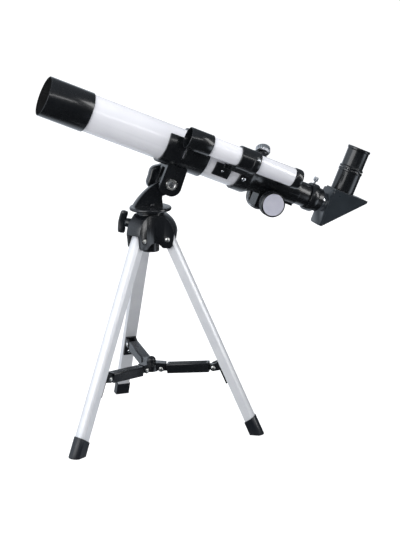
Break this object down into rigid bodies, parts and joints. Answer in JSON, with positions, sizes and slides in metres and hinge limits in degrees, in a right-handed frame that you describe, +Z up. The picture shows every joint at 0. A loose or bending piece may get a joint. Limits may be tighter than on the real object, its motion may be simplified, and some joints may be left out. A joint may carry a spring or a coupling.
{
  "type": "refractor telescope",
  "caption": "Small refractor telescope with star diagonal, rack focuser and finder scope on an alt-azimuth yoke and a braced aluminium table tripod",
  "frame": {"origin": "on the floor under the centre of the tripod", "axes": "+Z up; the tube lies in the XZ plane with its objective towards -X and its eyepiece end towards +X; the finder is on the -Y side"},
  "size_m": [0.4381, 0.2335, 0.4603],
  "materials": {
    "white_enamel": "gloss white enamel",
    "black_gloss": "moulded black, gloss",
    "black_satin": "moulded black, satin",
    "leg_aluminium": "satin anodised extrusion",
    "bright_chrome": "polished chrome plate",
    "steel": "zinc-plated steel",
    "cap_silver": "silver-lavender lacquer",
    "optical_glass": "polished, coated",
    "brass": "cut teeth",
    "foot_rubber": "moulded rubber"
  },
  "bodies": {
    "tripod": {"tripod_head": "black_satin", "leg_rivets": "bright_chrome", "bracket_rivets": "bright_chrome", "bracket_screws": "bright_chrome", "brace_hub": "black_satin", "hub_rivets": "bright_chrome", "leg_right": "leg_aluminium", "foot_right": "foot_rubber", "leg_bracket_right": "black_satin", "brace_arm_right": "black_satin", "leg_rear": "leg_aluminium", "foot_rear": "foot_rubber", "leg_bracket_rear": "black_satin", "brace_arm_rear": "black_satin", "leg_front": "leg_aluminium", "foot_front": "foot_rubber", "leg_bracket_front": "black_satin", "brace_arm_front": "black_satin"},
    "azimuth_lock": {"lock_stud": "steel", "lock_wing": "black_satin"},
    "mount": {"yoke": "black_satin", "azimuth_bolt": "steel"},
    "tube": {"saddle": "black_gloss", "altitude_bolt": "steel", "altitude_nut": "bright_chrome", "main_tube": "white_enamel", "objective_cell": "black_satin", "crown_lens": "optical_glass", "flint_lens": "optical_glass", "retaining_ring": "black_satin", "light_baffle": "black_satin", "focuser_body": "black_gloss", "collar_screws": "bright_chrome", "pinion_cover": "black_satin", "finder_bracket": "black_gloss", "finder_screws": "bright_chrome", "finder_tube": "white_enamel", "finder_cup": "black_gloss", "finder_objective": "optical_glass"},
    "altitude_clamp": {"altitude_knob": "black_satin"},
    "shield": {"dew_shield": "black_gloss"},
    "focus_slide": {"drawtube": "black_gloss", "rack": "brass", "drawtube_collar": "black_gloss"},
    "focus_drive": {"pinion_shaft": "brass", "focus_knob_near": "black_gloss", "focus_knob_far": "black_gloss", "knob_caps": "cap_silver"},
    "draw_clamp": {"drawtube_thumbscrew": "bright_chrome"},
    "diagonal": {"diagonal_nosepiece": "bright_chrome", "diagonal_housing": "black_gloss", "diagonal_cover": "black_gloss", "prism": "optical_glass", "eyepiece_socket": "black_gloss"},
    "eyepiece": {"eyepiece_barrel": "bright_chrome", "eyepiece_body": "black_gloss", "eyepiece_lenses": "optical_glass"},
    "finder_adjuster": {"finder_knob": "bright_chrome"},
    "finder_focus": {"finder_eyepiece": "black_gloss", "finder_eye_lens": "optical_glass"}
  },
  "joints": [
    {"name": "azimuth", "type": "hinge", "parent": "tripod", "child": "mount", "pos_m": [0, 0, 0.2879], "axis": [0, 0, 1], "continuous": true},
    {"name": "azimuth_lock_turn", "type": "hinge", "parent": "tripod", "child": "azimuth_lock", "pos_m": [-0.02628, 0.0135, 0.27171], "axis": [-0.8759, 0.4502, 0.1736], "range_deg": [-180, 180]},
    {"name": "altitude", "type": "hinge", "parent": "mount", "child": "tube", "pos_m": [0.023, 0, 0.323], "axis": [0, 1, 0], "range_deg": [-45, 45]},
    {"name": "altitude_clamp_turn", "type": "hinge", "parent": "tube", "child": "altitude_clamp", "pos_m": [0.023, 0.02, 0.323], "axis": [0, 1, 0], "range_deg": [-180, 180]},
    {"name": "dew_shield_slide", "type": "slide", "parent": "tube", "child": "shield", "axis": [-0.9239, 0, 0.3827], "range_m": [0, 0.015]},
    {"name": "focus", "type": "slide", "parent": "tube", "child": "focus_slide", "axis": [0.9239, 0, -0.3827], "range_m": [-0.013, 0.03]},
    {"name": "focus_knob_turn", "type": "hinge", "parent": "tube", "child": "focus_drive", "pos_m": [0.15319, 0, 0.29262], "axis": [0, 1, 0], "range_deg": [-89, 205]},
    {"name": "draw_clamp_turn", "type": "hinge", "parent": "focus_slide", "child": "draw_clamp", "pos_m": [0.22107, 0, 0.31278], "axis": [0.3827, 0, 0.9239], "range_deg": [-180, 180]},
    {"name": "diagonal_turn", "type": "hinge", "parent": "focus_slide", "child": "diagonal", "pos_m": [0.22173, 0, 0.29086], "axis": [0.9239, 0, -0.3827], "range_deg": [-90, 90]},
    {"name": "eyepiece_slide", "type": "slide", "parent": "diagonal", "child": "eyepiece", "axis": [0.3827, 0, 0.9239], "range_m": [0, 0.015]},
    {"name": "finder_adjuster_turn", "type": "hinge", "parent": "tube", "child": "finder_adjuster", "pos_m": [0.14169, -0.01982, 0.36155], "axis": [0.2706, 0.7071, 0.6533], "range_deg": [-180, 180]},
    {"name": "finder_focus_slide", "type": "slide", "parent": "tube", "child": "finder_focus", "axis": [0.9239, 0, -0.3827], "range_m": [0, 0.006]}
  ],
  "couplings": [
    {"joint": "focus_knob_turn", "follows": "focus", "rad_per_m": 119.05}
  ]
}
